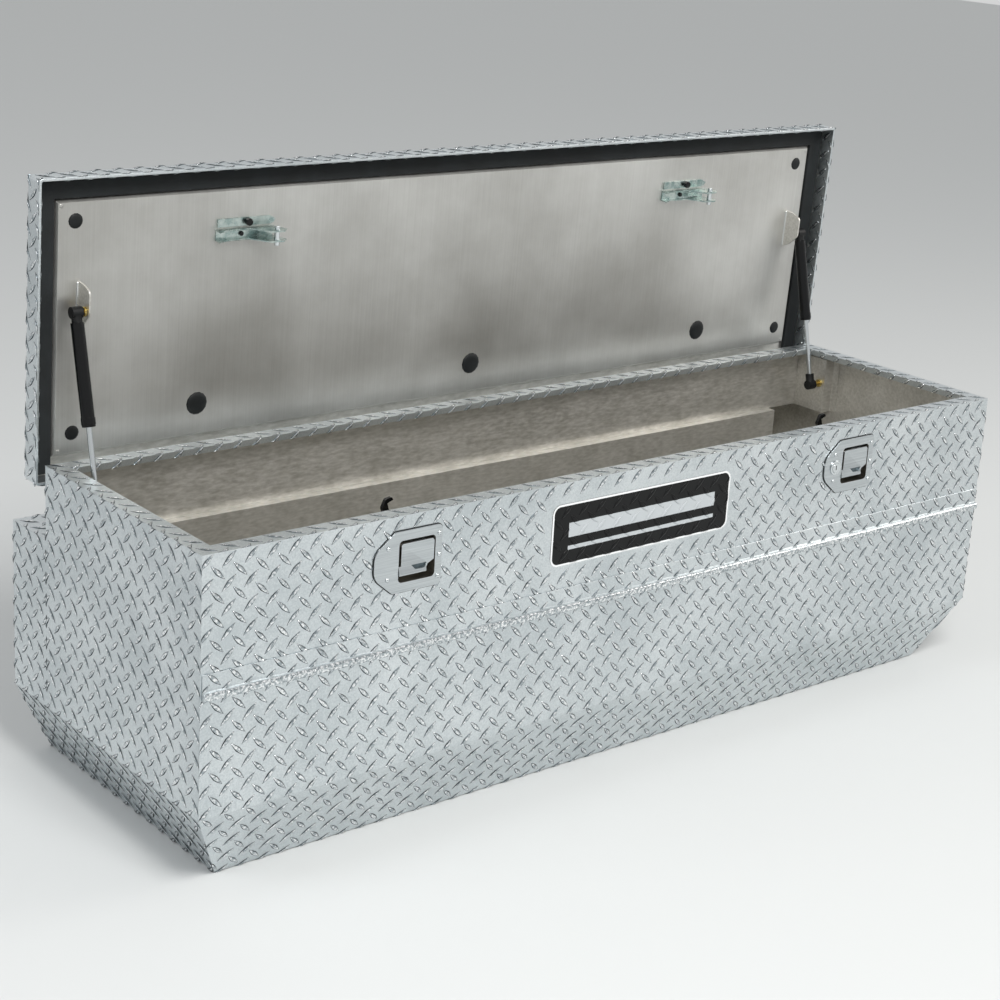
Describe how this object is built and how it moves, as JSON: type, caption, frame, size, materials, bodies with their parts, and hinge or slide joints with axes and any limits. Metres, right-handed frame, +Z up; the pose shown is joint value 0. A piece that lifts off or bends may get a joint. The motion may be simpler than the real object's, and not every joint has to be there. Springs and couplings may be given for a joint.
{
  "type": "truck tool box",
  "caption": "Long aluminium tread-plate truck chest with a hinged lid held open by gas struts, foam gasket, lined lid and recessed paddle latches.",
  "frame": {"origin": "underside of the floor, at the middle of the length and of the lower depth", "axes": "+X along the box to the right seen from the latch side, -Y is the latch side, +Z is up"},
  "size_m": [1.562, 0.53, 0.8835],
  "materials": {
    "tread_plate": "bright rolled tread plate",
    "mill_aluminium": "plain mill-finished sheet",
    "stainless": "polished stainless steel",
    "chrome": "bright plated",
    "zinc": "clear zinc plated",
    "black_paint": "satin black",
    "black_plastic": "matt black",
    "brass": "yellow zinc plated",
    "foam": "black closed-cell foam and rubber",
    "label": "blank black label"
  },
  "bodies": {
    "chest": {"front_upper_panel": "tread_plate", "front_lower_panel": "tread_plate", "front_belt": "tread_plate", "left_end_panel": "tread_plate", "right_end_panel": "tread_plate", "rear_upper_panel": "tread_plate", "rear_lower_panel": "tread_plate", "floor_panel": "tread_plate", "rear_inner_rail": "mill_aluminium", "strut_mount_left": "mill_aluminium", "strut_mount_right": "mill_aluminium", "lower_ball_studs": "brass", "hinge_body_leaf": "mill_aluminium", "hinge_pin": "stainless", "latch_plate_left": "stainless", "latch_seal_left": "foam", "latch_case_left": "black_paint", "latch_plate_right": "stainless", "latch_seal_right": "foam", "latch_case_right": "black_paint", "paddle_pins": "stainless", "paddle_springs": "stainless", "latch_rivets": "stainless", "lock_barrel": "chrome", "front_label": "label"},
    "lid": {"lid_shell": "tread_plate", "lid_liner": "mill_aluminium", "lid_gasket": "foam", "small_plugs": "black_plastic", "large_plugs": "black_plastic", "lid_ear_left": "mill_aluminium", "lid_ear_right": "mill_aluminium", "hinge_lid_leaf": "mill_aluminium", "striker_plate_left": "zinc", "striker_bracket_left": "zinc", "striker_plate_right": "zinc", "striker_bracket_right": "zinc", "striker_bars": "chrome", "striker_bolts": "black_paint"},
    "strut_rod_side_left": {"strut_foot_left": "black_plastic", "strut_rod_left": "chrome"},
    "strut_tube_side_left": {"strut_tube_left": "black_paint", "strut_head_left": "black_plastic", "upper_ball_stud_left": "brass"},
    "strut_rod_side_right": {"strut_foot_right": "black_plastic", "strut_rod_right": "chrome"},
    "strut_tube_side_right": {"strut_tube_right": "black_paint", "strut_head_right": "black_plastic", "upper_ball_stud_right": "brass"},
    "paddle_body_left": {"paddle_left": "stainless"},
    "paddle_body_right": {"paddle_right": "stainless"},
    "hook_body_left": {"latch_hook_left": "black_paint"},
    "hook_body_right": {"latch_hook_right": "black_paint"},
    "lock_core_body": {"lock_core": "chrome", "lock_cam": "zinc"}
  },
  "joints": [
    {"name": "lid_hinge", "type": "hinge", "parent": "chest", "child": "lid", "pos_m": [0, 0.164, 0.449], "axis": [1, 0, 0], "range_deg": [0, 87.3]},
    {"name": "strut_swing_left", "type": "hinge", "parent": "chest", "child": "strut_rod_side_left", "pos_m": [-0.723, 0.099, 0.422], "axis": [1, 0, 0], "range_deg": [0, 91.54]},
    {"name": "strut_slide_left", "type": "slide", "parent": "strut_rod_side_left", "child": "strut_tube_side_left", "axis": [0, 0.2289, 0.9734], "range_m": [-0.0959, 0]},
    {"name": "strut_swing_right", "type": "hinge", "parent": "chest", "child": "strut_rod_side_right", "pos_m": [0.723, 0.099, 0.422], "axis": [1, 0, 0], "range_deg": [0, 91.54]},
    {"name": "strut_slide_right", "type": "slide", "parent": "strut_rod_side_right", "child": "strut_tube_side_right", "axis": [0, 0.2289, 0.9734], "range_m": [-0.0959, 0]},
    {"name": "paddle_pull_left", "type": "hinge", "parent": "chest", "child": "paddle_body_left", "pos_m": [-0.44, -0.2565, 0.4365], "axis": [-1, 0, 0], "range_deg": [0, 28], "stiffness_Nm_per_rad": 0.4, "springref_deg": -14.32},
    {"name": "hook_turn_left", "type": "hinge", "parent": "chest", "child": "hook_body_left", "pos_m": [-0.436, -0.177, 0.425], "axis": [0, 1, 0], "range_deg": [0, 20]},
    {"name": "paddle_pull_right", "type": "hinge", "parent": "chest", "child": "paddle_body_right", "pos_m": [0.44, -0.2565, 0.4365], "axis": [-1, 0, 0], "range_deg": [0, 28], "stiffness_Nm_per_rad": 0.4, "springref_deg": -14.32},
    {"name": "hook_turn_right", "type": "hinge", "parent": "chest", "child": "hook_body_right", "pos_m": [0.444, -0.177, 0.425], "axis": [0, 1, 0], "range_deg": [0, 20]},
    {"name": "lock_turn", "type": "hinge", "parent": "chest", "child": "lock_core_body", "pos_m": [0.394, -0.261, 0.415], "axis": [0, 1, 0], "range_deg": [0, 90]}
  ],
  "couplings": [
    {"joint": "strut_swing_left", "follows": "lid_hinge", "ratio": 1.048},
    {"joint": "strut_slide_left", "follows": "lid_hinge", "m_per_rad": -0.06285},
    {"joint": "strut_swing_right", "follows": "lid_hinge", "ratio": 1.048},
    {"joint": "strut_slide_right", "follows": "lid_hinge", "m_per_rad": -0.06285}
  ]
}
